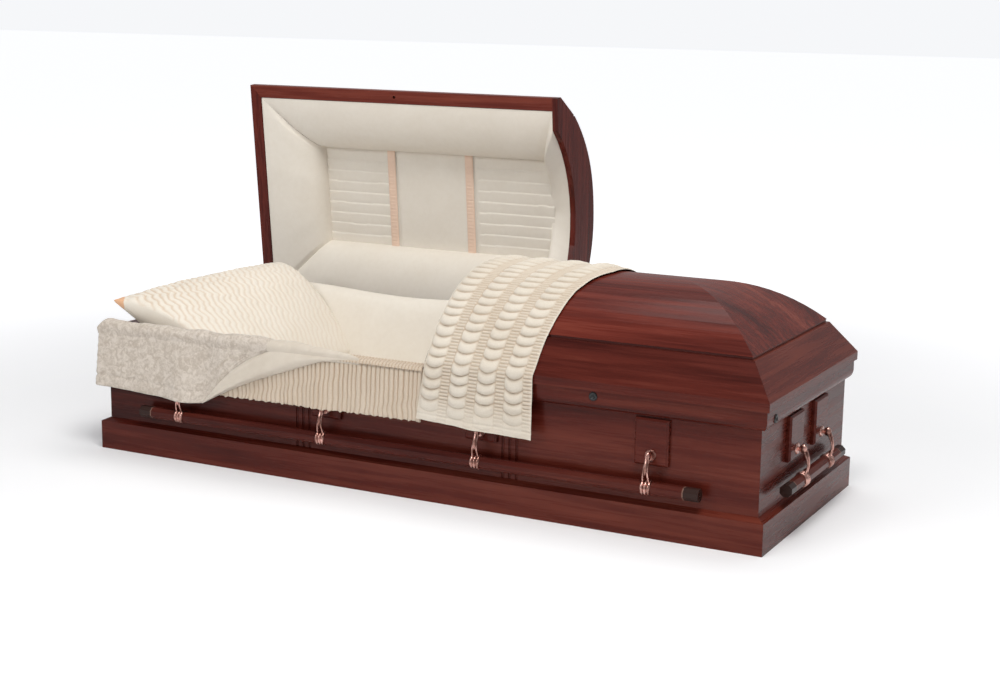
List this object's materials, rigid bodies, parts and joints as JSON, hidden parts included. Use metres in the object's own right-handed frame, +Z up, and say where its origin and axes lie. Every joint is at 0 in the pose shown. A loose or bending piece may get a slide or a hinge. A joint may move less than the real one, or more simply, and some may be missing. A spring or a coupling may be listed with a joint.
{
  "type": "casket",
  "caption": "Half-couch hardwood casket, head lid open, with a hipped domed lid, swing bars, shirred lining, pillow, overlay and a padded throw over the closed foot lid",
  "frame": {"origin": "centre of the box's underside, on the plane that the casket stands on", "axes": "+X to the foot end, -Y to the front, +Z up; the head lid opens towards +Y"},
  "size_m": [2.1816, 1.125, 1.072],
  "materials": {
    "wood": "satin lacquer over dark red-brown stained hardwood",
    "copper": "pinkish antique copper plate, lightly brushed",
    "iron": "dark plain hinge iron",
    "satin": "ivory satin with a soft sheen",
    "crepe": "ivory crepe, gathered",
    "velvet": "beige crushed velvet with a satin back",
    "throw_cloth": "beige velvet in puffed columns"
  },
  "bodies": {
    "casket": {"floor_board": "wood", "plinth_front": "wood", "wall_front": "wood", "rim_front": "wood", "plinth_foot": "wood", "wall_foot": "wood", "rim_foot": "wood", "plinth_back": "wood", "wall_back": "wood", "rim_back": "wood", "plinth_head": "wood", "wall_head": "wood", "rim_head": "wood", "lug_front_1": "copper", "lug_front_2": "copper", "lug_front_3": "copper", "lug_front_4": "copper", "lug_back_1": "copper", "lug_back_2": "copper", "lug_back_3": "copper", "lug_back_4": "copper", "lug_head_1": "copper", "lug_head_2": "copper", "lug_foot_1": "copper", "lug_foot_2": "copper", "hinge_rail": "iron", "mattress": "crepe", "body_lining": "crepe", "pillow": "satin", "overlay": "velvet"},
    "head_lid": {"head_lid_rail_front": "wood", "head_lid_rail_back": "wood", "head_lid_rail_head": "wood", "head_lid_crown": "wood", "head_lid_header": "wood", "head_lid_hinge": "iron", "head_lid_lining": "satin"},
    "foot_lid": {"foot_lid_rail_front": "wood", "foot_lid_rail_back": "wood", "foot_lid_rail_foot": "wood", "foot_lid_crown": "wood", "foot_lid_header": "wood", "foot_lid_hinge": "iron", "throw": "throw_cloth"},
    "front_bar": {"bar_front": "wood", "arm_front_1": "copper", "arm_front_2": "copper", "arm_front_3": "copper", "arm_front_4": "copper"},
    "foot_bar": {"bar_foot": "wood", "arm_foot_1": "copper", "arm_foot_2": "copper"},
    "back_bar": {"bar_back": "wood", "arm_back_1": "copper", "arm_back_2": "copper", "arm_back_3": "copper", "arm_back_4": "copper"},
    "head_bar": {"bar_head": "wood", "arm_head_1": "copper", "arm_head_2": "copper"}
  },
  "joints": [
    {"name": "head_lid_hinge", "type": "hinge", "parent": "casket", "child": "head_lid", "pos_m": [0, 0.406, 0.2765], "axis": [1, 0, 0], "range_deg": [0, 84.3], "deforming": ["body_lining", "pillow", "overlay"]},
    {"name": "foot_lid_hinge", "type": "hinge", "parent": "casket", "child": "foot_lid", "pos_m": [0, 0.406, 0.2765], "axis": [-1, 0, 0], "range_deg": [0, 84.3]},
    {"name": "front_bar_swing", "type": "hinge", "parent": "casket", "child": "front_bar", "pos_m": [0, -0.384, 0.22], "axis": [-1, 0, 0], "range_deg": [0, 80], "deforming": ["overlay"]},
    {"name": "back_bar_swing", "type": "hinge", "parent": "casket", "child": "back_bar", "pos_m": [0, 0.384, 0.22], "axis": [1, 0, 0], "range_deg": [0, 80]},
    {"name": "foot_bar_swing", "type": "hinge", "parent": "casket", "child": "foot_bar", "pos_m": [1.0665, 0, 0.22], "axis": [0, -1, 0], "range_deg": [0, 80]},
    {"name": "head_bar_swing", "type": "hinge", "parent": "casket", "child": "head_bar", "pos_m": [-1.0665, 0, 0.22], "axis": [0, 1, 0], "range_deg": [0, 80]}
  ]
}
